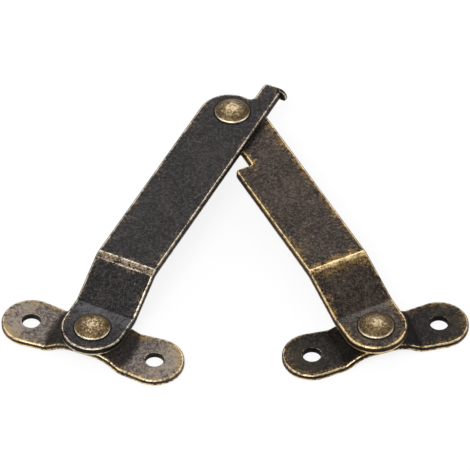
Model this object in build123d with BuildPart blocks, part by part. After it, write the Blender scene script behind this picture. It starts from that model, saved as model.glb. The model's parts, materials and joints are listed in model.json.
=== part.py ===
from build123d import *
import os
from math import cos, radians, sin

# A small folding lid stay: two joggled arms on one elbow rivet, each riveted to a bow-tie screw plate.
#
# The origin is the left foot rivet's axis on the mounting surface. +X runs along the line through the
# two foot rivets, +Y points from that line to the elbow, and +Z points away from the mounting surface.
# Sizes are in millimetres.

# The pose in which the stay is modelled, in degrees
elbow_angle = 53.2  # between the two arms
left_plate_turn = -23.7  # of the plate's long axis, about +Z from +X
right_plate_turn = 18.5

# Arms: bent strips of sheet, measured along the arm from its foot rivet's axis
arm_length = 54.9  # from rivet axis to rivet axis
arm_width = 11.3
arm_thickness = 1.5
foot_reach = 5.3  # from the foot rivet's axis back to the end of the arm
elbow_reach = 4.45  # from the elbow rivet's axis on to the end of the arm
arm_bend_radius = 1.2  # inside each bend
lower_rise = 2.9  # of the lower arm's joggle
lower_ramp = (4.5, 14.3)  # where it starts and ends
upper_ramp = (5.0, 12.8)
edge_chamfer = 0.3  # broken edges of the arms and plates

# Tab and stop ear at the elbow end of the upper arm
tab_reach = 9.3  # past the elbow rivet's axis
tab_inset = 2.0  # from the arm's centre line to the tab's inner edge
tab_root_round = 1.0
tab_corner_round = 0.8
ear_length = 0.9  # along the arm
ear_overhang = 0.9  # of its outer face past the arm's edge
ear_drop = 0.45  # from the arm's underside to the ear's lower end
ear_bend_radius = 0.1  # inside its bend
ear_end_round = 0.4

# Notch in the lower arm's edge that faces the upper arm
notch_shoulder = 12.2  # from the elbow rivet's axis
notch_length = 4.2
neck_half_width = 2.4  # from the arm's centre line to the notch's floor
notch_round = 0.7  # of its outer corners
notch_root_round = 0.4

# Screw plates, measured from the foot rivet's axis
plate_thickness = 1.2
plate_lift = 1.65  # of the raised middle above the mounting surface
plate_bend_reach = 6.85  # to the outer bend
plate_ramp_length = 3.2
plate_bend_radius = 0.6  # inside the outer bends
crown_bend_radius = 5.0  # inside the gentle bends where the ramps level out
screw_spacing = 23.5
screw_hole_radius = 1.6
lobe_radius = 5.2
flank_half_width = 4.75  # at the outer bends
waist_half_width = 4.35  # in the middle
flank_round = 12.0  # where the waist runs into the flanks

# Rivets
shank_radius = 1.5
shank_clearance = 0.05  # round the shank, in every hole
head_radius = 3.15
head_height = 1.25
head_rim_height = 0.4
tail_radius = 2.3
tail_height = 0.9
tail_chamfer = 0.25

# Levels above the mounting surface
foot_underside = plate_lift + plate_thickness
foot_top = foot_underside + arm_thickness
upper_rise = lower_rise + arm_thickness  # the arms' feet are level, so the upper arm steps up further
lower_arm_top = foot_top + lower_rise
upper_arm_top = foot_top + upper_rise

# Places of the rivets
feet_apart = 2 * arm_length * sin(radians(elbow_angle / 2))
elbow_y = arm_length * cos(radians(elbow_angle / 2))
half_width = arm_width / 2
rivet_hole_radius = shank_radius + shank_clearance


def turned_plane(x, degrees):
    """The mounting surface with its origin at (x, 0) and its X axis turned about +Z."""
    x_dir = (cos(radians(degrees)), sin(radians(degrees)), 0)
    return Plane(origin=(x, 0, 0), x_dir=x_dir, z_dir=(0, 0, 1))


def side_plane(plane):
    """The upright plane through a plane's X axis, with +Z as its Y axis."""
    return Plane(origin=plane.origin, x_dir=plane.x_dir, z_dir=-plane.y_dir)


def wall_edges(part):
    """The edges at the top and bottom of a bent sheet's upright walls."""
    walls = part.faces().filter_by(lambda face: abs(face.normal_at().Z) < 0.01)
    return walls.edges().filter_by(Axis.Z, reverse=True)


def joggled_strip(plane, ramp, rise, reach):
    """An arm seen from the side: a strip that lies level at its foot and steps up to its body."""
    with BuildSketch(side_plane(plane)) as strip:
        with BuildLine():
            FilletPolyline(
                (-foot_reach - arm_width, foot_top),
                (ramp[0], foot_top),
                (ramp[1], foot_top + rise),
                (arm_length + reach + arm_width, foot_top + rise),
                radius=[arm_bend_radius, arm_bend_radius + arm_thickness],
            )
            offset(amount=arm_thickness, side=Side.RIGHT)
        make_face()
    return strip.sketch


def round_ended_blank():
    """An arm seen from above: a strip with an arc of half its width at each end."""
    foot_centre = half_width - foot_reach
    elbow_centre = arm_length + elbow_reach - half_width
    with BuildSketch() as blank:
        with Locations(((foot_centre + elbow_centre) / 2, 0)):
            SlotCenterToCenter(elbow_centre - foot_centre, arm_width)
    return blank.sketch


def screw_plate(plane):
    """A bow-tie plate of sheet, raised in the middle over the rivet's tail."""
    hole_reach = screw_spacing / 2
    end_reach = hole_reach + lobe_radius
    ramp_top = plate_bend_reach - plate_ramp_length
    outside_radius = plate_bend_radius + plate_thickness
    with BuildPart(plane) as plate:
        # The strip from the side, with its two ramps
        with BuildSketch(side_plane(plane)):
            with BuildLine():
                FilletPolyline(
                    (-end_reach - lobe_radius, 0),
                    (-plate_bend_reach, 0),
                    (-ramp_top, plate_lift),
                    (ramp_top, plate_lift),
                    (plate_bend_reach, 0),
                    (end_reach + lobe_radius, 0),
                    radius=[outside_radius, crown_bend_radius, crown_bend_radius, outside_radius],
                )
                offset(amount=plate_thickness, side=Side.LEFT)
            make_face()
        extrude(amount=2 * lobe_radius, both=True)
        # The bow tie from above: a quarter of its outline, mirrored twice
        with BuildSketch(plane) as bow_tie:
            with BuildLine():
                waist = TangentArc((0, waist_half_width), (plate_bend_reach, flank_half_width), tangent=(1, 0))
                lobe = CenterArc((hole_reach, 0), lobe_radius, 0, 180, mode=Mode.PRIVATE)
                flank = ConstrainedLines(lobe, waist @ 1, selector=lambda lines: lines.sort_by(Axis.Y)[-1:])
                flank_line = flank.edge()
                TangentArc(flank_line @ 0, (end_reach, 0), tangent=-(flank_line % 0))
                mirror(about=Plane.XZ)
                mirror(about=Plane.YZ)
            make_face()
            flank_corners = bow_tie.vertices().filter_by(lambda corner: abs(abs(corner.X) - plate_bend_reach) < 0.01)
            fillet(flank_corners, radius=flank_round)
        extrude(amount=foot_underside, mode=Mode.INTERSECT)
        chamfer(wall_edges(plate), length=edge_chamfer)
        Hole(rivet_hole_radius)
        with GridLocations(screw_spacing, 0, 2, 1):
            Hole(screw_hole_radius)
    return plate.part


def rivet(x, y, tail_top, head_seat):
    """A domed rivet, from the tail under the lower sheet to the head on the upper one."""
    crown = (0, head_seat + head_height)
    rim_top = (head_radius, head_seat + head_rim_height)
    with BuildPart() as shape:
        with BuildSketch(Plane(origin=(x, y, 0), x_dir=(1, 0, 0), z_dir=(0, -1, 0))):
            with BuildLine():
                Polyline(
                    crown,
                    (0, tail_top - tail_height),
                    (tail_radius - tail_chamfer, tail_top - tail_height),
                    (tail_radius, tail_top - tail_height + tail_chamfer),
                    (tail_radius, tail_top),
                    (shank_radius, tail_top),
                    (shank_radius, head_seat),
                    (head_radius, head_seat),
                    rim_top,
                )
                TangentArc(crown, rim_top, tangent=(1, 0))
            make_face()
        revolve(axis=Axis((x, y, 0), (0, 0, 1)))
    return shape.part


# Screw plates, under the foot rivets
left_plate = screw_plate(turned_plane(0, left_plate_turn))
right_plate = screw_plate(turned_plane(feet_apart, right_plate_turn))

# Stop ear: the outer corner of the upper arm's tab, bent down through a right angle.
# It is made in the arm's own axes, with X along the arm.
ear_face = half_width + ear_overhang
ear_bend_start = ear_face - arm_thickness - ear_bend_radius
with BuildPart() as ear:
    tab_end = Plane(origin=(arm_length + tab_reach, 0, upper_arm_top), x_dir=(0, -1, 0), z_dir=(-1, 0, 0))
    with BuildSketch(tab_end) as ear_section:
        with BuildLine():
            FilletPolyline(
                (ear_bend_start - edge_chamfer, 0),
                (ear_face, 0),
                (ear_face, -arm_thickness - ear_drop),
                radius=ear_bend_radius + arm_thickness,
            )
            offset(amount=arm_thickness, side=Side.RIGHT)
        make_face()
        straight_leg = ear_drop - ear_bend_radius
        end_round = min(ear_end_round, 0.9 * straight_leg)
        fillet(ear_section.vertices().group_by(Axis.Y)[0], radius=end_round)
    extrude(amount=ear_length)
    ear_sides = ear.faces().filter_by(Axis.X)
    # All their edges but the two that lie inside the tab
    chamfer(ear_sides.edges().sort_by(Axis.Y)[:-2], length=min(edge_chamfer, 0.9 * end_round))

# Upper arm, on top at the elbow
upper_plane = turned_plane(0, 90 - elbow_angle / 2)
with BuildPart(upper_plane) as upper_arm:
    extrude(joggled_strip(upper_plane, upper_ramp, upper_rise, tab_reach), amount=arm_width, both=True)
    with BuildSketch(upper_plane) as upper_plan:
        add(round_ended_blank())
        with Locations((arm_length + tab_reach, -half_width)):
            Rectangle(tab_reach + half_width, half_width - tab_inset, align=(Align.MAX, Align.MIN))
        tab_edge_corners = upper_plan.vertices().group_by(Axis.Y)[1]
        fillet(tab_edge_corners.sort_by(Axis.X)[0], radius=tab_root_round)
        tab_end_corners = upper_plan.vertices().group_by(Axis.X)[-1]
        fillet(tab_end_corners.sort_by(Axis.Y)[-1], radius=tab_corner_round)
    extrude(amount=upper_arm_top, mode=Mode.INTERSECT)
    chamfer(wall_edges(upper_arm), length=edge_chamfer)
    # The corner that the ear is bent from gives way to the ear
    with BuildSketch(upper_plane):
        with Locations((arm_length + tab_reach - ear_length, -ear_bend_start)):
            Rectangle(ear_length + edge_chamfer, arm_width, align=(Align.MIN, Align.MAX))
    extrude(amount=upper_arm_top, mode=Mode.SUBTRACT)
    add(ear.part)
    with Locations((0, 0), (arm_length, 0)):
        Hole(rivet_hole_radius)

# Lower arm, underneath at the elbow
lower_plane = turned_plane(feet_apart, 90 + elbow_angle / 2)
with BuildPart(lower_plane) as lower_arm:
    extrude(joggled_strip(lower_plane, lower_ramp, lower_rise, elbow_reach), amount=arm_width, both=True)
    with BuildSketch(lower_plane) as lower_plan:
        add(round_ended_blank())
        with Locations((arm_length - notch_shoulder, neck_half_width)):
            Rectangle(notch_length, arm_width, align=(Align.MIN, Align.MIN), mode=Mode.SUBTRACT)
        fillet(lower_plan.vertices().group_by(Axis.Y)[1], radius=notch_root_round)
        fillet(lower_plan.vertices().group_by(Axis.Y)[-1].sort_by(Axis.X)[1:3], radius=notch_round)
    extrude(amount=lower_arm_top, mode=Mode.INTERSECT)
    chamfer(wall_edges(lower_arm), length=edge_chamfer)
    with Locations((0, 0), (arm_length, 0)):
        Hole(rivet_hole_radius)

# Each piece in a file of its own
pieces = {
    "upper_arm": upper_arm.part,
    "lower_arm": lower_arm.part,
    "left_plate": left_plate,
    "right_plate": right_plate,
    "elbow_rivet": rivet(feet_apart / 2, elbow_y, lower_arm_top - arm_thickness, upper_arm_top),
    "left_foot_rivet": rivet(0, 0, plate_lift, foot_top),
    "right_foot_rivet": rivet(feet_apart, 0, plate_lift, foot_top),
}
os.makedirs("parts", exist_ok=True)
for name, piece in pieces.items():
    piece.label = name
    export_step(piece, f"parts/{name}.step")
    print(name, round(piece.volume, 1), "mm3", piece.is_valid)
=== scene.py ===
# %% [markdown]
# # A folding lid stay in antique bronze
#
# A lid stay holds the lid of a box open. This one has two arms of steel sheet that turn on an elbow
# rivet, and each arm turns on a small screw plate. The pieces look stamped flat, bent and riveted, with a
# black finish that has worn to brass wherever a piece rubs.
#
# The scene follows the maker's order: stamp a blank, break its edges, bend it, and put it in its place.
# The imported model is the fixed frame, so every piece is put where that frame has it.

import bmesh
import bpy
import json
from math import asin, atan, atan2, cos, degrees, hypot, radians, sin, sqrt, tan
from mathutils import Matrix, Vector, kdtree


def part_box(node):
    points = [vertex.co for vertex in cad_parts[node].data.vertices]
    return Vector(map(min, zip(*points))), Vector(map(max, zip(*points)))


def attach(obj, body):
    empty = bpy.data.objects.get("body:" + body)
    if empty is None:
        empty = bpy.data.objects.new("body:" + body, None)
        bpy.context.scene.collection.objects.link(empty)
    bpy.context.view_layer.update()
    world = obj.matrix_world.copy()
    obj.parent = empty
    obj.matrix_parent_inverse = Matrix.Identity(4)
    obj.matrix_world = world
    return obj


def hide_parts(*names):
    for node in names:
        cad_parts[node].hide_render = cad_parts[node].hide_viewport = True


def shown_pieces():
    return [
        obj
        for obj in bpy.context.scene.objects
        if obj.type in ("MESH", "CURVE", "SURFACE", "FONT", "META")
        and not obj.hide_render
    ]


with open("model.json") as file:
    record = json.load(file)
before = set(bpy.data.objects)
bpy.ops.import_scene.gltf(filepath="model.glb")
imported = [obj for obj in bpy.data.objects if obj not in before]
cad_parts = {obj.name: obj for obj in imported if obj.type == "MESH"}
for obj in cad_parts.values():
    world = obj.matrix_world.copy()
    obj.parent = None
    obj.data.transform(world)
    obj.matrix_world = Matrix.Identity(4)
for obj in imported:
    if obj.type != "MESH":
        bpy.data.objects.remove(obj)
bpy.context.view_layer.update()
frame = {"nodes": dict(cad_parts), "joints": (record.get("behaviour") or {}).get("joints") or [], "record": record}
print("nodes:", sorted(frame["nodes"]))

# %% [markdown]
# Blender works in metres and this object is the size of a hand, so each size is written in millimetres
# and multiplied by `mm`. The rivets' places come from the joints of the frame: an arm's own X axis runs
# from its foot rivet to the elbow.

# %% Places that the frame gives
mm = 0.001
pivots = {joint["name"]: Vector(joint["pos_m"]) for joint in frame["joints"]}
left_foot = pivots["left_swivel"]
right_foot = pivots["right_swivel"]
elbow = pivots["elbow"]
arm_length = (elbow - left_foot).length


def levels(node):
    """The lowest and highest level of a node."""
    lowest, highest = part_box(node)
    return lowest.z, highest.z


print("arm length in mm:", round(arm_length / mm, 2))

# %% [markdown]
# ## Drawing an outline
#
# A blank could be typed in as a long list of points, but a maker draws it as straight runs and arcs.
# Three small pens do the same with mesh operators: one sets the first vertex, one extrudes it along a
# straight line, and one spins it round a centre.

# %% Pens for an outline
arc_step = radians(5)


def start_at(bm, x, y):
    """Sets the first vertex of an outline."""
    return bmesh.ops.create_vert(bm, co=(x, y, 0))["vert"][0]


def line_to(bm, vertex, x, y):
    """Draws a straight edge and returns its far vertex."""
    far = bmesh.ops.extrude_vert_indiv(bm, verts=[vertex])["verts"][0]
    far.co = (x, y, 0)
    return far


def arc_to(bm, vertex, centre, turn, steps=None):
    """Draws an arc of turn radians, anticlockwise if positive, and returns its far vertex."""
    steps = steps or max(3, round(abs(turn) / arc_step))
    spun = bmesh.ops.spin(bm, geom=[vertex], cent=(*centre, 0), axis=(0, 0, 1), angle=turn, steps=steps)
    return next(item for item in spun["geom_last"] if isinstance(item, bmesh.types.BMVert))


# %% [markdown]
# ## From an outline to a blank
#
# The outline is filled with one face and extruded by the sheet's thickness, with the middle of the sheet
# at level 0. A stamped and tumbled part has no sharp edge, so the rims are bevelled, and two narrow inset
# loops follow each rim so that the flat stays flat when the mesh is shaded smooth.
#
# The finish later needs to know where the piece rubs and where shade and highlights are painted, so each
# vertex carries four values. The first is 1 on the worn rims and is later painted brighter where a rim
# faces the front, the second is painted shade, high on the walls, the third fades from 1 at a rim to 0
# further in, and the fourth is a painted pale highlight. Two loops low in each wall keep the painted shade
# of the wall apart from the bright rim under it.

# %% Blank
edge_round = 0.3 * mm
inset_loops = ((0.06 * mm, 0.6), (0.07 * mm, 0))  # how far in, and rub there
wall_loops = ((0.12 * mm, 1), (0.32 * mm, 0))  # how far above the lower rim, and rub there
wear_and_light_values = ("wear_and_highlight", "painted_shade", "edge", "painted_highlight")


def cap_faces(bm):
    """The flat faces on top of the sheet and under it."""
    bm.normal_update()
    return [face for face in bm.faces if abs(face.normal.z) > 0.999]


def new_mesh():
    """An empty mesh whose vertices can carry the four values."""
    bm = bmesh.new()
    for name in wear_and_light_values:
        bm.verts.layers.float.new(name)
    return bm


def wear_and_light_layers(bm, *names):
    return [bm.verts.layers.float[name] for name in names]


def stamp(bm, thickness):
    """Makes a drawn outline into a blank with rounded rims, open on its two flat sides."""
    wear_and_highlight, painted_shade = wear_and_light_layers(bm, "wear_and_highlight", "painted_shade")
    bmesh.ops.remove_doubles(bm, verts=bm.verts, dist=1e-6)
    sheet = bmesh.ops.contextual_create(bm, geom=bm.edges[:])["faces"]
    raised = bmesh.ops.extrude_face_region(bm, geom=sheet, use_keep_orig=True)["geom"]
    raised = [item for item in raised if isinstance(item, bmesh.types.BMVert)]
    bmesh.ops.translate(bm, verts=raised, vec=(0, 0, thickness))
    bmesh.ops.translate(bm, verts=bm.verts, vec=(0, 0, -thickness / 2))
    bmesh.ops.recalc_face_normals(bm, faces=bm.faces)
    rims = {edge for face in cap_faces(bm) for edge in face.edges}
    worn = bmesh.ops.bevel(
        bm, geom=list(rims), offset=edge_round, offset_type="OFFSET", segments=4, profile=0.5,
        affect="EDGES", material=-1, clamp_overlap=False, loop_slide=False,
    )
    for vertex in worn["verts"]:
        # Brass on the rims; on the wall side of the top rim, painted shade darkens the wall.
        height = (abs(vertex.co.z) - thickness / 2 + edge_round) / edge_round
        vertex[wear_and_highlight] = min(1, 1.5 * height) if vertex.co.z > 0 else 1
        vertex[painted_shade] = 0.9 * (1 - height) if vertex.co.z > 0 else 0
    caps = cap_faces(bm)
    for width, value in inset_loops:
        bmesh.ops.inset_region(bm, faces=caps, thickness=width, use_even_offset=True)
        for vertex in {vertex for face in caps for vertex in face.verts}:
            vertex[wear_and_highlight] = value
    bmesh.ops.delete(bm, geom=caps, context="FACES_ONLY")
    # Painted shade on the wall above the two low loops; the lower rim under them stays bright.
    for above_rim, bright in wall_loops:
        everything = bm.verts[:] + bm.edges[:] + bm.faces[:]
        level = (0, 0, edge_round + above_rim - thickness / 2)
        cut = bmesh.ops.bisect_plane(bm, geom=everything, dist=1e-7, plane_co=level, plane_no=(0, 0, 1))
        for item in cut["geom_cut"]:
            if isinstance(item, bmesh.types.BMVert):
                item[wear_and_highlight], item[painted_shade] = bright, 0.9 * (1 - bright)


# %% [markdown]
# A hole is a turned surface, so its section is drawn once, from the flat on top, over the rounded rim,
# down the wall and out again, and spun round the hole's axis. Then the flats are filled between the
# outline's inner loop and the loops round the holes.

# %% Holes
def pierce(bm, x, radius, thickness, hole_round, rim_rub, painted_shadow=0):
    """Spins the wall of a hole, with a flat ring round it on each side, painted shade in the wall and a painted
    shadow out to the given reach.
    """
    wear_and_highlight, painted_shade = wear_and_light_layers(bm, "wear_and_highlight", "painted_shade")
    flat = max(hole_round + 0.3 * mm, painted_shadow - radius)
    old = set(bm.verts)
    pen = start_at(bm, radius + flat, thickness / 2)
    pen = line_to(bm, pen, radius + flat - 0.25 * mm, thickness / 2)
    pen = line_to(bm, pen, radius + hole_round, thickness / 2)
    pen = arc_to(bm, pen, (radius + hole_round, thickness / 2 - hole_round), radians(90), 4)
    pen = line_to(bm, pen, radius, hole_round - thickness / 2)
    pen = arc_to(bm, pen, (radius + hole_round, hole_round - thickness / 2), radians(90), 4)
    pen = line_to(bm, pen, radius + flat - 0.25 * mm, -thickness / 2)
    line_to(bm, pen, radius + flat, -thickness / 2)
    section = [vertex for vertex in bm.verts if vertex not in old]
    for vertex in section:
        inward = max(0, (radius + hole_round - vertex.co.x) / hole_round)
        vertex[wear_and_highlight] = rim_rub * (inward < 0.9) * (vertex.co.x < radius + 1.1 * hole_round)
        # Painted shade down the hole's wall, and a painted contact shadow on the flat just round a rivet head.
        vertex[painted_shade] = max(inward, 0.8 * (vertex.co.x < painted_shadow - 0.2 * mm))
    bmesh.ops.rotate(bm, verts=section, cent=(0, 0, 0), matrix=Matrix.Rotation(radians(90), 3, "X"))
    lines = {edge for vertex in section for edge in vertex.link_edges}
    bmesh.ops.spin(bm, geom=section + list(lines), cent=(0, 0, 0), axis=(0, 0, 1), angle=radians(360),
                   steps=64, use_merge=True)
    wall = [vertex for vertex in bm.verts if vertex not in old]
    bmesh.ops.translate(bm, verts=wall, vec=(x, 0, 0))


def fill_flats(bm):
    """Fills both flats between their loops of open edges."""
    for side in (1, -1):
        rims = [edge for edge in bm.edges if edge.is_boundary and edge.verts[0].co.z * side > 0]
        bmesh.ops.triangle_fill(bm, edges=rims, use_beauty=True, normal=(0, 0, side))
    bmesh.ops.recalc_face_normals(bm, faces=bm.faces)


# %% [markdown]
# A filled flat has no vertices inside it, so it can't hold a value that changes across it. A lattice of
# cuts gives it some, and a KD tree finds how far each of them is from the nearest rim.

# %% Lattice
def lattice(bm, reach=1.7 * mm):
    """Cuts the blank crosswise and lengthwise, and sets the edge value of its vertices."""
    wear_and_highlight, edge = wear_and_light_layers(bm, "wear_and_highlight", "edge")
    for axis, spacing in ((0, 1.6 * mm), (1, 0.9 * mm)):
        low = min(vertex.co[axis] for vertex in bm.verts)
        high = max(vertex.co[axis] for vertex in bm.verts)
        cuts = int((high - low) / spacing)
        for cut in range(1, cuts):
            place, normal = Vector((0, 0, 0)), Vector((0, 0, 0))
            place[axis], normal[axis] = low + (high - low) * cut / cuts, 1
            everything = bm.verts[:] + bm.edges[:] + bm.faces[:]
            bmesh.ops.bisect_plane(bm, geom=everything, dist=1e-5, plane_co=place, plane_no=normal)
    on_rims = []
    for line in bm.edges:
        if min(vertex[wear_and_highlight] for vertex in line.verts) > 0.95:
            steps = 1 + int(line.calc_length() / (0.25 * mm))
            on_rims += [line.verts[0].co.lerp(line.verts[1].co, step / steps) for step in range(steps)]
    tree = kdtree.KDTree(len(on_rims))
    for index, point in enumerate(on_rims):
        tree.insert((point.x, point.y, 0), index)
    tree.balance()
    for vertex in bm.verts:
        distance = tree.find((vertex.co.x, vertex.co.y, 0))[2]
        vertex[edge] = max(0, 1 - distance / reach)


# %% [markdown]
# ## Bending
#
# A press bends sheet round an edge: what lies before the bend stays, what lies in it wraps round a
# cylinder, and what lies past it turns as one. `bend` does just that to each vertex. It is given the
# radius of the sheet's middle, which keeps its length, so it needs rows of vertices across the bend
# first, and those are cut with bisect_plane. The far bend is made first, while the rest is still flat.

# %% Bending
bend_rows = 10


def cut_rows(bm, start, length, rows=bend_rows, faces=None):
    """Cuts evenly spaced rows of edges across the sheet."""
    for row in range(rows + 1):
        chosen = bm.faces[:] if faces is None else faces(bm)
        around = {item for face in chosen for item in (*face.verts, *face.edges, face)}
        level = start + length * row / rows
        bmesh.ops.bisect_plane(bm, geom=list(around), dist=1e-7, plane_co=(level, 0, 0), plane_no=(1, 0, 0))


def bend(verts, start, radius, angle):
    """Bends what lies past start, up if the angle is positive."""
    side = 1 if angle > 0 else -1
    centre = Vector((start, 0, side * radius))
    for vertex in verts:
        travel = min(max(vertex.co.x - start, 0), radius * abs(angle))
        vertex.co.x -= travel
        vertex.co = centre + Matrix.Rotation(-side * travel / radius, 3, "Y") @ (vertex.co - centre)


def finish_piece(bm, name, body, node, matrix):
    """Puts a finished mesh in its place and has it ride on its body."""
    bmesh.ops.transform(bm, matrix=matrix, verts=bm.verts)
    bmesh.ops.recalc_face_normals(bm, faces=bm.faces)
    bm.normal_update()
    wear_and_highlight, painted_shade = wear_and_light_layers(bm, "wear_and_highlight", "painted_shade")
    # Painted light: a rim keeps all its brass where it faces the front (-Y) and about a tenth where it faces the
    # back, so the front rims look lit.
    for vertex in bm.verts:
        if vertex.normal.xy.length > 0.2 and vertex[painted_shade] < 0.99:
            toward = -vertex.normal.xy.normalized().y
            vertex[wear_and_highlight] *= 0.55 + 0.45 * toward
    mesh = bpy.data.meshes.new(name)
    bm.to_mesh(mesh)
    bm.free()
    mesh.shade_smooth()
    piece = bpy.data.objects.new(name, mesh)
    bpy.context.scene.collection.objects.link(piece)
    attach(piece, body)
    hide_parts(node)
    lowest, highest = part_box(node)
    corners = [vertex.co for vertex in mesh.vertices]
    off = []
    for axis in range(3):
        below = min(co[axis] for co in corners) - lowest[axis]
        above = max(co[axis] for co in corners) - highest[axis]
        off.append(round(max(abs(below), abs(above)) / mm, 3))
    print(name, "faces", len(mesh.polygons), "off the frame's box by mm:", off)


# %% [markdown]
# ## The arms
#
# Both arms are the same strip: a foot that lies on its screw plate, a ramp, and a long body. The upper
# arm lies on the lower one at the elbow, so its ramp climbs one sheet higher. Seen flat, the strip is
# longer than from above, and `unrolled` works out by how much.

# %% Sizes of the arms
arm_width = 11.3 * mm
arm_thickness = 1.5 * mm
foot_reach = 5.3 * mm
elbow_reach = 4.45 * mm
half_width = arm_width / 2
foot_top = levels("right_plate")[1] + arm_thickness
rivet_hole = 1.55 * mm
arm_hole_round = 0.1 * mm
# How far the painted contact shadow round a rivet head reaches
rivet_shadow_reach = 3.55 * mm
arm_bend_radius = 1.2 * mm
bend_middle = arm_bend_radius + arm_thickness / 2
upper_ramp = (5.0 * mm, 12.8 * mm)
lower_ramp = (4.5 * mm, 14.3 * mm)
lower_rise = levels("lower_arm")[1] - foot_top
upper_rise = lower_rise + arm_thickness


def unrolled(ramp, rise):
    """A ramp laid flat: its slope, where its two bends start, and how much longer the strip gets."""
    run = ramp[1] - ramp[0]
    slope = atan2(rise, run)
    inner_cut = (bend_middle - arm_thickness / 2) * tan(slope / 2)
    outer_cut = (bend_middle + arm_thickness / 2) * tan(slope / 2)
    first = ramp[0] - inner_cut
    second = first + bend_middle * slope + hypot(run, rise) - inner_cut - outer_cut
    longer = second + bend_middle * slope - (ramp[1] + outer_cut)
    return slope, first, second, longer


for name, ramp, rise in (("upper", upper_ramp, upper_rise), ("lower", lower_ramp, lower_rise)):
    slope, first, second, longer = unrolled(ramp, rise)
    print(name, "ramp", round(degrees(slope), 1), "degrees, strip longer by", round(longer / mm, 2), "mm")

# %% [markdown]
# The foot end and the elbow end are round. The upper arm keeps a narrow tab past its elbow end, with a
# small ear that is bent down as a stop. A slit as wide as a saw cut frees the ear before it is bent. The
# round in the root of the tab touches both the tab's edge and the end's arc, and its centre follows from
# that.

# %% Outline of the upper arm
tab_reach = 9.3 * mm
tab_inset = 2.0 * mm
tab_root_round = 1.0 * mm
tab_corner_round = 0.8 * mm
ear_length = 0.9 * mm
ear_slit = 0.1 * mm
ear_bend_radius = 0.1 * mm
ear_overhang = 0.9 * mm
ear_middle = ear_bend_radius + arm_thickness / 2
ear_bend_start = half_width + ear_overhang - arm_thickness - ear_bend_radius
ear_leg = 0.35 * mm
ear_tip = ear_bend_start + ear_middle * radians(90) + ear_leg


def upper_outline(bm, longer):
    foot_centre = half_width - foot_reach
    end_centre = arm_length + longer + elbow_reach - half_width
    tab_end = arm_length + longer + tab_reach
    root_y = tab_root_round - tab_inset
    root_x = end_centre + sqrt((half_width + tab_root_round) ** 2 - root_y**2)
    root_angle = atan2(root_y, root_x - end_centre)
    pen = start_at(bm, end_centre, half_width)
    pen = line_to(bm, pen, foot_centre, half_width)
    pen = arc_to(bm, pen, (foot_centre, 0), radians(180))
    pen = line_to(bm, pen, tab_end - ear_length - ear_slit, -half_width)
    pen = line_to(bm, pen, tab_end - ear_length - ear_slit, -ear_bend_start)
    pen = line_to(bm, pen, tab_end - ear_length, -ear_bend_start)
    pen = line_to(bm, pen, tab_end - ear_length, -ear_tip)
    pen = line_to(bm, pen, tab_end, -ear_tip)
    pen = line_to(bm, pen, tab_end, -tab_inset - tab_corner_round)
    pen = arc_to(bm, pen, (tab_end - tab_corner_round, -tab_inset - tab_corner_round), radians(90))
    pen = line_to(bm, pen, root_x, -tab_inset)
    pen = arc_to(bm, pen, (root_x, root_y), root_angle - radians(90))
    arc_to(bm, pen, (end_centre, 0), radians(90) - root_angle)


# %% [markdown]
# The lower arm has a notch in the edge that faces the upper arm. Its four corners are rounded by
# bevelling vertices, two of them inside the notch and two on the edge of the strip.

# %% Outline of the lower arm
notch_shoulder = 12.2 * mm
notch_length = 4.2 * mm
neck_half_width = 2.4 * mm
notch_round = 0.7 * mm
notch_root_round = 0.4 * mm


def lower_outline(bm, longer):
    foot_centre = half_width - foot_reach
    end_centre = arm_length + longer + elbow_reach - half_width
    shoulder = arm_length + longer - notch_shoulder
    pen = start_at(bm, end_centre, half_width)
    pen = brow = line_to(bm, pen, shoulder + notch_length, half_width)
    pen = brow_root = line_to(bm, pen, shoulder + notch_length, neck_half_width)
    pen = shoulder_root = line_to(bm, pen, shoulder, neck_half_width)
    pen = shoulder_corner = line_to(bm, pen, shoulder, half_width)
    pen = line_to(bm, pen, foot_centre, half_width)
    pen = arc_to(bm, pen, (foot_centre, 0), radians(180))
    pen = line_to(bm, pen, end_centre, -half_width)
    arc_to(bm, pen, (end_centre, 0), radians(180))
    outer, inner = [brow, shoulder_corner], [brow_root, shoulder_root]
    for corners, size in ((outer, notch_round), (inner, notch_root_round)):
        bmesh.ops.bevel(
            bm, geom=corners, offset=size, offset_type="OFFSET", segments=6, profile=0.5,
            affect="VERTICES", material=-1, clamp_overlap=False,
        )


# %% [markdown]
# An arm is then stamped, given rows of vertices at its bends, and bent, the far bend first. Where a bend
# stands proud, the finish rubs off across the whole strip: `crest` raises the wear and the ochre on that
# side, and on the concave side it paints shade into the crease and a pale highlight on the flat beside it.

# %% Making an arm
def crest(bm, start, length, side, first_line, band, second_line, ochre_reach, highlight_reach):
    """Rubs the proud side of a bend, most along its two lines, and paints shade into its concave side and a pale
    highlight on the flat beside that.
    """
    wear_and_highlight, painted_shade, edge, painted_highlight = wear_and_light_layers(bm, *wear_and_light_values)
    for vertex in bm.verts:
        along = vertex.co.x - start
        if vertex.co.z * side > 0 and abs(vertex.co.z) > arm_thickness / 3:
            rubbed = max(
                first_line * (1 - abs(along) / (0.3 * mm)),
                second_line * (1 - abs(along - length) / (0.3 * mm)),
                band * min(1, 1 + min(along, length - along) / (0.5 * mm)),
            )
            vertex[wear_and_highlight] = max(vertex[wear_and_highlight], rubbed)
            off_crest = abs(along - length / 2) / (ochre_reach * mm)
            vertex[edge] = max(vertex[edge], (band + 0.9) * (1 - off_crest))
        elif vertex.co.z * side < 0:
            # Painted shade, deepest in the middle of the concave side of the bend.
            deep = 1 - abs(along - length / 2) / (0.6 * length)
            vertex[painted_shade] = max(vertex[painted_shade], 0.2 * deep)
            # A painted pale highlight on the flat beside the concave side of the bend.
            onto_flat = (along - length / 2) * side
            highlight_share = min(onto_flat / (0.5 * mm), 1.3 - onto_flat / (highlight_reach * mm))
            vertex[painted_highlight] = max(vertex[painted_highlight], min(1, highlight_share))


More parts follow.
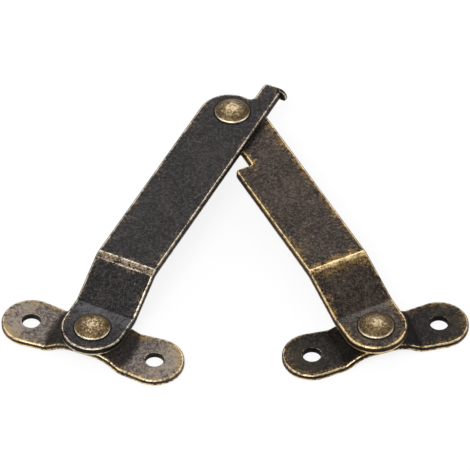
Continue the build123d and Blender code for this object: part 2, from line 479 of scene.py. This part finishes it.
def bent_arm(outline, ramp, rise, **bend_marks):
    bm = new_mesh()
    slope, first, second, longer = unrolled(ramp, rise)
    outline(bm, longer)
    stamp(bm, arm_thickness)
    for place in (0, arm_length + longer):
        pierce(bm, place, rivet_hole, arm_thickness, arm_hole_round, 0, painted_shadow=rivet_shadow_reach)
    fill_flats(bm)
    lattice(bm)
    for start, side in ((first, -1), (second, 1)):
        cut_rows(bm, start - 0.6 * mm, bend_middle * slope + 1.2 * mm, 24)
        cut_rows(bm, start - 2.1 * mm, bend_middle * slope + 4.2 * mm, 8)
        crest(bm, start, bend_middle * slope, side, **bend_marks)
    return bm, slope, first, second, longer


def along_arm(foot):
    """The arm's own axes, from its foot rivet towards the elbow, with the sheet's middle at its level."""
    direction = elbow - foot
    turn = Matrix.Rotation(atan2(direction.y, direction.x), 4, "Z")
    return Matrix.Translation(foot + Vector((0, 0, foot_top - arm_thickness / 2))) @ turn


# %% Upper arm
upper_bend_marks = {"first_line": 1.0, "band": 0.6, "second_line": 1.05, "ochre_reach": 2.0, "highlight_reach": 4.5}
bm, slope, first, second, longer = bent_arm(upper_outline, upper_ramp, upper_rise, **upper_bend_marks)
ear_root = arm_length + longer + tab_reach - ear_length
quarter_turn = Matrix.Rotation(radians(90), 4, "Z")
bmesh.ops.transform(bm, matrix=quarter_turn, verts=bm.verts)


def ear_faces(bm):
    """The faces of the ear, with the arm turned so that the ear points along X."""
    return [face for face in bm.faces if face.calc_center_median().y > ear_root - ear_slit / 2]


bmesh.ops.bisect_plane(bm, geom=bm.verts[:] + bm.edges[:] + bm.faces[:], dist=1e-7,
                       plane_co=(0, ear_root - ear_slit / 2, 0), plane_no=(0, 1, 0))
cut_rows(bm, ear_bend_start, ear_middle * radians(90), faces=ear_faces)
ear_verts = {vertex for face in ear_faces(bm) for vertex in face.verts if vertex.co.x > ear_bend_start}
[wear_and_highlight] = wear_and_light_layers(bm, "wear_and_highlight")
for vertex in bm.verts:
    if vertex.co.y > ear_root - ear_slit - 0.5 * mm:
        if ear_bend_start - 0.6 * mm < vertex.co.x < ear_bend_start + 0.5 * ear_middle:
            vertex[wear_and_highlight] *= 0.25
bend(ear_verts, ear_bend_start, ear_middle, -radians(90))
bmesh.ops.transform(bm, matrix=quarter_turn.inverted(), verts=bm.verts)
bend(bm.verts, second, bend_middle, -slope)
bend(bm.verts, first, bend_middle, slope)
finish_piece(bm, "upper_arm_strip", "upper_arm", "upper_arm", along_arm(left_foot))

# %% Lower arm
lower_bend_marks = {"first_line": 0.65, "band": 0.6, "second_line": 1.1, "ochre_reach": 2.8, "highlight_reach": 1.6}
bm, slope, first, second, longer = bent_arm(lower_outline, lower_ramp, lower_rise, **lower_bend_marks)
bend(bm.verts, second, bend_middle, -slope)
bend(bm.verts, first, bend_middle, slope)
finish_piece(bm, "lower_arm_strip", "lower_arm", "lower_arm", along_arm(right_foot))

# %% [markdown]
# ## The screw plates
#
# A screw plate is a bow tie of thinner sheet: two round lobes with a screw hole each, and a narrower
# middle that is raised to make room for the rivet's tail: two gentle ramps with a gentle crown between
# them. Only a quarter of the outline is drawn, and two mirrors make the rest.

# %% Sizes and outline of a screw plate
plate_thickness = 1.2 * mm
plate_lift = levels("left_plate")[1] - plate_thickness
plate_bend_radius = 0.6 * mm
crown_bend_radius = 5.0 * mm
plate_middle = plate_bend_radius + plate_thickness / 2
crown_middle = crown_bend_radius + plate_thickness / 2
plate_ramp = (3.65 * mm, 6.85 * mm)
lobe_radius = 5.2 * mm
screw_spacing = 23.5 * mm
screw_hole = 1.6 * mm
plate_hole_round = 0.15 * mm
flank_half_width = 4.75 * mm
waist_half_width = 4.35 * mm
plate_bend_marks = {"first_line": 0, "band": 0.1, "second_line": 0, "ochre_reach": 1.2, "highlight_reach": 1}


def unrolled_plate():
    """The plate's ramp laid flat: its slope, where its two bends start, and how much longer the half gets."""
    slope = atan2(plate_lift, plate_ramp[1] - plate_ramp[0])
    inner_cut = (crown_middle - plate_thickness / 2) * tan(slope / 2)
    outer_cut = (plate_middle + plate_thickness / 2) * tan(slope / 2)
    first = plate_ramp[0] - inner_cut
    run = hypot(plate_lift, plate_ramp[1] - plate_ramp[0])
    second = first + crown_middle * slope + run - inner_cut - outer_cut
    longer = second + plate_middle * slope - (plate_ramp[1] + outer_cut)
    return slope, first, second, longer


def bow_tie_outline(bm, lobe_centre, flank):
    rise = flank_half_width - waist_half_width
    waist_radius = (flank**2 + rise**2) / (2 * rise)
    away = hypot(lobe_centre - flank, flank_half_width)
    line_angle = asin(lobe_radius / away) - atan2(flank_half_width, lobe_centre - flank)
    line_length = sqrt(away**2 - lobe_radius**2)
    pen = start_at(bm, 0, waist_half_width)
    pen = arc_to(bm, pen, (0, waist_half_width + waist_radius), 2 * atan(rise / flank))
    flank_end = Vector((pen.co.x + line_length * cos(line_angle), pen.co.y + line_length * sin(line_angle)))
    pen = line_to(bm, pen, *flank_end)
    arc_to(bm, pen, (lobe_centre, 0), -(radians(90) + line_angle))
    for axis in "YX":
        everything = bm.verts[:] + bm.edges[:]
        bmesh.ops.mirror(bm, geom=everything, matrix=Matrix.Identity(4), merge_dist=1e-6, axis=axis)


# %% Making the screw plates
def screw_plate(name, node, rivet_place, screw_mount, painted_shadow):
    """Stamps a plate and bends both its halves: the second is bent after half a turn of the whole."""
    slope, first, second, longer = unrolled_plate()
    lobe_centre = screw_spacing / 2 + longer
    bm = new_mesh()
    bow_tie_outline(bm, lobe_centre, second + plate_middle * slope / 2)
    stamp(bm, plate_thickness)
    for place, radius in ((-lobe_centre, screw_hole), (0, rivet_hole), (lobe_centre, screw_hole)):
        pierce(bm, place, radius, plate_thickness, plate_hole_round, 0.7)
    fill_flats(bm)
    lattice(bm)
    wear_and_highlight, painted_shade, painted_highlight = wear_and_light_layers(bm, "wear_and_highlight", "painted_shade", "painted_highlight")
    half_turn = Matrix.Rotation(radians(180), 4, "Z")
    for half in range(2):
        for start, middle, side in ((first, crown_middle, 1), (second, plate_middle, -1)):
            cut_rows(bm, start, middle * slope, 12)
            crest(bm, start, middle * slope, side, **plate_bend_marks)
        # Painted shadow of the arm's foot: the top near the middle darkens, except where it is rubbed, and a
        # painted pale highlight grows towards the end of each lobe.
        for vertex in bm.verts:
            if vertex.co.x > 0 and vertex.co.z > 0:
                inside = (second + 2.0 * mm - vertex.co.xy.length) / (0.8 * mm)
                if vertex[wear_and_highlight] < 0.5:
                    vertex[painted_shade] = max(vertex[painted_shade], painted_shadow * min(1, max(0, inside)))
                vertex[painted_highlight] = min(1, max(0, (vertex.co.x - lobe_centre + 1.5 * mm) / (4 * mm)))
        bend(bm.verts, second, plate_middle, slope)
        bend(bm.verts, first, crown_middle, -slope)
        bmesh.ops.transform(bm, matrix=half_turn, verts=bm.verts)
    back = screw_mount - rivet_place
    turn = Matrix.Rotation(atan2(back.y, back.x), 4, "Z")
    matrix = Matrix.Translation(rivet_place + Vector((0, 0, plate_lift + plate_thickness / 2))) @ turn
    finish_piece(bm, name, node, node, matrix)


mounts = {mount["name"]: Vector(mount["pos_m"]) for mount in frame["record"]["mounts"]}
screw_plate("left_bow_tie_plate", "left_plate", left_foot, mounts["left_plate_back"], 0.75)
screw_plate("right_bow_tie_plate", "right_plate", right_foot, mounts["right_plate_back"], 0.5)

# %% [markdown]
# ## The rivets
#
# A rivet is turned: its section is drawn once, from the crown of the head down to the tail, and spun
# round its axis. The dome stands on a narrow steep rim, and that rim catches the light.

# %% Rivets
head_radius = 3.15 * mm
head_height = 1.25 * mm
head_rim = 0.28 * mm
shank_radius = 1.5 * mm
tail_radius = 2.3 * mm
tail_height = 0.9 * mm
tail_round = 0.25 * mm


def rivet(name, node, body, place, head_seat, tail_seat):
    """Draws the section in the XY plane, with the axis along Y, stands it up and spins it."""
    bm = new_mesh()
    dome_rise = head_height - head_rim
    dome_foot = head_radius - 0.1 * mm
    dome_radius = (dome_foot**2 + dome_rise**2) / (2 * dome_rise)
    dome_angle = asin(dome_foot / dome_radius)
    top = head_seat + head_height
    pen = start_at(bm, 0, top)
    pen = arc_to(bm, pen, (0, top - dome_radius), -dome_angle, 24)
    pen = line_to(bm, pen, head_radius, head_seat + head_rim * 0.55)
    pen = line_to(bm, pen, head_radius - 0.06 * mm, head_seat)
    pen = line_to(bm, pen, shank_radius, head_seat)
    pen = line_to(bm, pen, shank_radius, tail_seat)
    pen = line_to(bm, pen, tail_radius, tail_seat)
    pen = line_to(bm, pen, tail_radius, tail_seat - tail_height + tail_round)
    pen = arc_to(bm, pen, (tail_radius - tail_round, tail_seat - tail_height + tail_round), -radians(90))
    line_to(bm, pen, 0, tail_seat - tail_height)
    wear_and_highlight, painted_shade, edge = wear_and_light_layers(bm, "wear_and_highlight", "painted_shade", "edge")
    # The head's rim gets brass, worn and painted brighter as a highlight; a ring of painted shade lies inside the
    # rim; and the edge value, highest at the crown, paints a highlight there in ochre.
    for vertex in bm.verts:
        across = vertex.co.x / head_radius
        on_head = vertex.co.y > head_seat
        vertex[wear_and_highlight] = max(0, 9 * across - 8) if on_head else 0.3
        vertex[painted_shade] = 0.4 * max(0, 1 - abs(across - 0.82) / 0.3) if on_head else 0.7
        vertex[edge] = 1.1 - 1.2 * across + 0.12 * cos(22 * across) if on_head else 0.3
    bmesh.ops.rotate(bm, verts=bm.verts, cent=(0, 0, 0), matrix=Matrix.Rotation(radians(90), 3, "X"))
    section = bm.verts[:] + bm.edges[:]
    bmesh.ops.spin(bm, geom=section, cent=(0, 0, 0), axis=(0, 0, 1), angle=radians(360),
                   steps=72, use_merge=True)
    bmesh.ops.remove_doubles(bm, verts=bm.verts, dist=1e-7)
    finish_piece(bm, name, body, node, Matrix.Translation((place.x, place.y, 0)))


elbow_level = levels("lower_arm")[1]
elbow_top, elbow_under = elbow_level + arm_thickness, elbow_level - arm_thickness
rivet("elbow_rivet_turned", "elbow_rivet", "upper_arm", elbow, elbow_top, elbow_under)
for side, foot in (("left", left_foot), ("right", right_foot)):
    rivet(f"{side}_foot_rivet_turned", f"{side}_foot_rivet", f"{side}_plate", foot, foot_top, plate_lift)

# %% [markdown]
# ## Antique bronze
#
# The finish is made as if steel was plated with brass, blackened in a bath, lacquered and tumbled. The
# black stays in the flats, brown shows where it is thin, ochre gathers near rims and bends, and the brass
# comes back on rims, on proud bends and in specks and scratches. Shade is painted in near black, and a
# pale highlight is painted where the mesh asks for it. Each colour is a layer over the last, and a mask
# says where it shows.
#
# All patterns read Object coordinates, which are metres here, so they are scaled to millimetres first.

# %% Small helpers for nodes
def add_node(tree, kind, inputs=None, **settings):
    """Adds a node, and sets or links its inputs."""
    made = tree.nodes.new(kind)
    for name, value in settings.items():
        setattr(made, name, value)
    for key, value in (inputs or {}).items():
        if isinstance(value, bpy.types.NodeSocket):
            tree.links.new(value, made.inputs[key])
        else:
            made.inputs[key].default_value = value
    return made


def noise(tree, place, scale, detail=4, roughness=0.6, distortion=0):
    """A noise of so many waves in a millimetre."""
    inputs = {
        "Vector": place, "Scale": scale, "Detail": detail, "Roughness": roughness, "Distortion": distortion,
    }
    return add_node(tree, "ShaderNodeTexNoise", inputs).outputs["Fac"]


def fade(tree, value, low, high, to_low=0, to_high=1):
    """Fades smoothly from one value to another while the input goes from low to high."""
    inputs = {"Value": value, 1: low, 2: high, 3: to_low, 4: to_high}
    return add_node(tree, "ShaderNodeMapRange", inputs, interpolation_type="SMOOTHSTEP").outputs["Result"]


def maths(tree, operation, first, second):
    return add_node(tree, "ShaderNodeMath", {0: first, 1: second}, operation=operation).outputs[0]


def blend_colours(tree, share, first, second):
    """Mixes two colours, each of them a socket or red, green and blue."""
    first, second = ((*colour, 1) if isinstance(colour, tuple) else colour for colour in (first, second))
    return add_node(tree, "ShaderNodeMix", {0: share, 6: first, 7: second}, data_type="RGBA").outputs[2]


def marks(tree, place, angle, size):
    """Coordinates turned, then stretched to a mark of so many millimetres, for scratches that run one way."""
    inputs = {"Vector": place, "Rotation": (0, 0, radians(angle)), "Scale": size}
    return add_node(tree, "ShaderNodeMapping", inputs, vector_type="TEXTURE").outputs[0]


def off_middle(tree, value, strength):
    """How far a noise is above its middle, for adding to a value that it should roughen."""
    return maths(tree, "MULTIPLY", maths(tree, "SUBTRACT", value, 0.5), strength)


# %% The finish
# The near black of painted shade
painted_shade_colour = (0.006, 0.005, 0.005)


def antique_bronze(name, seed, black, brown, sheen, painted_highlight, ochre, brass, rubbed, band, specks, shine, size=1):
    """Makes the finish of one piece.

    rubbed, band and specks say how much shows of brass on the rims, of ochre near them, and of specks.

    size is how large the marks are beside those on the arms.
    """
    finish = bpy.data.materials.new(name)
    finish.use_nodes = True
    tree = finish.node_tree
    shader = tree.nodes["Principled BSDF"]
    place = add_node(tree, "ShaderNodeTexCoord").outputs["Object"]
    inputs = {"Vector": place, "Location": (seed, 2 * seed, 0), "Scale": [1000 / size] * 3}
    place = add_node(tree, "ShaderNodeMapping", inputs).outputs[0]
    wear_and_highlight, painted_shade, edge, painted_highlight_mask = [
        add_node(tree, "ShaderNodeAttribute", attribute_name=value).outputs["Fac"] for value in wear_and_light_values
    ]

    cloud = noise(tree, place, 0.2, detail=2, roughness=0.5)
    mottle = noise(tree, place, 0.8, detail=4, roughness=0.65, distortion=0.5)
    grain = noise(tree, place, 1.9, detail=3, roughness=0.7, distortion=0.1)
    dust = noise(tree, place, 4.5, detail=2, roughness=0.6)
    fine = maths(tree, "ADD", off_middle(tree, dust, 1.2), off_middle(tree, grain, 1.3))
    broad = maths(tree, "ADD", off_middle(tree, mottle, 1.2), off_middle(tree, cloud, 1.0))
    # Brown shows through the black in clouds, the grain catches a little light, a pale highlight is painted
    # where the mesh's value asks for it, ochre gathers near the rims, and pits stay black
    thin = maths(tree, "ADD", broad, maths(tree, "MULTIPLY", fine, 0.4))
    patina = blend_colours(tree, fade(tree, thin, -0.2, 0.35), black, brown)
    patina = blend_colours(tree, fade(tree, fine, -0.1, 0.3, 0, 0.75), patina, sheen)
    cloudy = maths(tree, "ADD", maths(tree, "MULTIPLY", broad, 1.4), fine)
    # The painted pale highlight, broken up by the clouds and the grain
    pale = maths(tree, "MULTIPLY", painted_highlight_mask, maths(tree, "ADD", 0.7, cloudy))
    patina = blend_colours(tree, fade(tree, pale, 0, 1, 0, 0.9), patina, painted_highlight)
    spread = maths(tree, "ADD", broad, maths(tree, "MULTIPLY", fine, 1.6))
    near_rim = maths(tree, "ADD", maths(tree, "MULTIPLY", edge, 0.75), spread)
    patina = blend_colours(tree, fade(tree, near_rim, 1.0 - band, 1.3 - band, 0, 0.9), patina, ochre)
    pits = tuple(0.4 * value for value in black)
    patina = blend_colours(tree, fade(tree, fine, -0.35, -0.05, 0.65, 0), patina, pits)
    # Brass on the rims, and in specks that gather near them
    uneven = maths(tree, "ADD", 1, maths(tree, "ADD", broad, maths(tree, "MULTIPLY", fine, 1.3)))
    worn = maths(tree, "MULTIPLY", wear_and_highlight, uneven)
    on_rims = fade(tree, worn, 0.5 - rubbed, 1.3 - rubbed)
    dotted = maths(tree, "ADD", maths(tree, "ADD", fine, maths(tree, "MULTIPLY", broad, 0.5)),
                   maths(tree, "MULTIPLY", edge, 0.5 * band))
    in_specks = fade(tree, dotted, 0.5 - specks, 0.7 - specks, 0, 0.7)
    # A few fine scratches
    lines = None
    for angle, long in ((38, 5.0), (-22, 3.5), (81, 6.0)):
        streak = noise(tree, marks(tree, place, angle, (long, 0.14, 1)), 1, detail=1, roughness=0.4)
        streak = fade(tree, streak, 0.76, 0.81, 0, 0.2)
        lines = streak if lines is None else maths(tree, "MAXIMUM", lines, streak)
    shown = maths(tree, "MAXIMUM", on_rims, maths(tree, "MAXIMUM", in_specks, lines))
    # Painted shade: no brass shows in it, and it turns the colour near black.
    shown = maths(tree, "MULTIPLY", shown, fade(tree, painted_shade, 0, 0.9, 1, 0))
    colour = blend_colours(tree, shown, patina, brass)
    colour = blend_colours(tree, fade(tree, painted_shade, 0, 1, 0, 0.85), colour, painted_shade_colour)
    tree.links.new(colour, shader.inputs["Base Color"])
    shader.inputs["Metallic"].default_value = 0.9
    rough = fade(tree, shown, 0, 1, shine, shine - 0.06)
    rough = maths(tree, "ADD", rough, maths(tree, "MULTIPLY", fine, 0.12))
    rough = maths(tree, "ADD", rough, fade(tree, painted_shade, 0.3, 1, 0, 0.25))
    tree.links.new(rough, shader.inputs["Roughness"])
    height = maths(tree, "ADD", maths(tree, "MULTIPLY", broad, 0.4), fine)
    bump = add_node(tree, "ShaderNodeBump", {"Height": height, "Strength": 0.5, "Distance": 0.00004})
    tree.links.new(bump.outputs[0], shader.inputs["Normal"])
    return finish


# %% Finishes of this stay's pieces
finishes = {
    "upper_arm_strip": antique_bronze(
        "upper_arm_finish", 3, black=(0.015, 0.013, 0.013), brown=(0.029, 0.025, 0.024),
        sheen=(0.055, 0.051, 0.052), painted_highlight=(0.082, 0.082, 0.086), ochre=(0.150, 0.100, 0.052),
        brass=(0.68, 0.58, 0.45), rubbed=0.1, band=0.22, specks=-0.08, shine=0.42),
    "lower_arm_strip": antique_bronze(
        "lower_arm_finish", 17, black=(0.020, 0.016, 0.014), brown=(0.050, 0.037, 0.029),
        sheen=(0.100, 0.078, 0.062), painted_highlight=(0.085, 0.078, 0.075), ochre=(0.165, 0.102, 0.036),
        brass=(0.76, 0.57, 0.30), rubbed=0.2, band=0.46, specks=0.03, shine=0.42),
    "left_bow_tie_plate": antique_bronze(
        "left_plate_finish", 31, black=(0.058, 0.047, 0.043), brown=(0.120, 0.096, 0.083),
        sheen=(0.240, 0.203, 0.180), painted_highlight=(0.225, 0.185, 0.148), ochre=(0.270, 0.180, 0.075),
        brass=(0.80, 0.63, 0.38), rubbed=0.05, band=0.48, specks=0.0, shine=0.40),
    "right_bow_tie_plate": antique_bronze(
        "right_plate_finish", 43, black=(0.007, 0.006, 0.006), brown=(0.018, 0.014, 0.011),
        sheen=(0.044, 0.036, 0.030), painted_highlight=(0.030, 0.024, 0.017), ochre=(0.115, 0.072, 0.028),
        brass=(0.72, 0.56, 0.34), rubbed=0.02, band=0.42, specks=-0.06, shine=0.42),
}
rivet_finish = antique_bronze(
    "rivet_finish", 59, black=(0.095, 0.058, 0.024), brown=(0.185, 0.120, 0.054),
    sheen=(0.35, 0.255, 0.138), painted_highlight=(0.45, 0.34, 0.20), ochre=(0.63, 0.50, 0.31),
    brass=(0.94, 0.82, 0.60), rubbed=0.4, band=0.52, specks=-0.14, shine=0.45, size=0.55)
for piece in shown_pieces():
    piece.data.materials.clear()
    piece.data.materials.append(finishes.get(piece.name, rivet_finish))
    print(piece.name, "is finished in", piece.data.materials[0].name)

# %% [markdown]
# ## Floor, light and camera
#
# The floor is nearly white to the camera and pale to everything else, mirrors included, so that it keeps
# a faint soft shadow and throws no more light on the object than a pale table does.

# %% Floor
ground = bpy.data.meshes.new("floor")
bm = bmesh.new()
bmesh.ops.create_grid(bm, x_segments=1, y_segments=1, size=3)
bmesh.ops.translate(bm, verts=bm.verts, vec=(0, 0, -0.05 * mm))
bm.to_mesh(ground)
bm.free()
floor = bpy.data.objects.new("floor", ground)
bpy.context.scene.collection.objects.link(floor)
pale = bpy.data.materials.new("pale_floor")
pale.use_nodes = True
tree = pale.node_tree
matt = tree.nodes["Principled BSDF"]
matt.inputs["Base Color"].default_value = (0.85, 0.85, 0.85, 1)
matt.inputs["Roughness"].default_value = 0.8
matt.inputs["Specular IOR Level"].default_value = 0.1
glow = add_node(tree, "ShaderNodeEmission", {"Color": (1, 1, 1, 1), "Strength": 1.0})
seen = add_node(tree, "ShaderNodeLightPath").outputs["Is Camera Ray"]
both = add_node(tree, "ShaderNodeMixShader", {0: maths(tree, "MULTIPLY", seen, 0.85)})
tree.links.new(matt.outputs[0], both.inputs[1])
tree.links.new(glow.outputs[0], both.inputs[2])
tree.links.new(both.outputs[0], tree.nodes["Material Output"].inputs["Surface"])
floor.data.materials.append(pale)

# %% Light
world = bpy.data.worlds.new("studio")
bpy.context.scene.world = world
world.use_nodes = True
world.node_tree.nodes["Background"].inputs["Color"].default_value = (1, 1, 1, 1)
world.node_tree.nodes["Background"].inputs["Strength"].default_value = 0.32
aim = Vector((25, 25, 4)) * mm


def direction(azimuth, elevation):
    """Points from the object towards an azimuth and an elevation in degrees, with azimuth 0 in front."""
    azimuth, elevation = radians(azimuth), radians(elevation)
    return Vector((sin(azimuth) * cos(elevation), -cos(azimuth) * cos(elevation), sin(elevation)))


def softbox(name, azimuth, elevation, distance, size, power):
    """A square lamp at an azimuth and an elevation round the object."""
    toward = direction(azimuth, elevation)
    lamp = bpy.data.lights.new(name, "AREA")
    lamp.shape = "SQUARE"
    lamp.size = size
    lamp.energy = power
    lit = bpy.data.objects.new(name, lamp)
    lit.location = aim + toward * distance
    lit.rotation_mode = "QUATERNION"
    lit.rotation_quaternion = toward.to_track_quat("Z", "Y")
    bpy.context.scene.collection.objects.link(lit)


softbox("front_softbox", -20, 50, 0.8, 0.4, 5.4)
softbox("back_softbox", 180, 48, 0.9, 0.8, 3.6)
softbox("left_softbox", -75, 20, 0.8, 0.5, 2.0)
softbox("right_softbox", 75, 20, 0.8, 0.5, 2.5)

# %% Camera
camera_distance = 0.994
camera_aim = Vector((24.91, 26.68, 0)) * mm
back = direction(-0.40, 45.33)
lens = bpy.data.cameras.new("camera")
lens.lens = 429.6
lens.sensor_width = 36
lens.clip_start = 0.01
camera = bpy.data.objects.new("camera", lens)
camera.location = camera_aim + back * camera_distance
camera.rotation_mode = "QUATERNION"
camera.rotation_quaternion = back.to_track_quat("Z", "Y")
bpy.context.scene.collection.objects.link(camera)
bpy.context.scene.camera = camera
bpy.context.scene.view_settings.view_transform = "Standard"
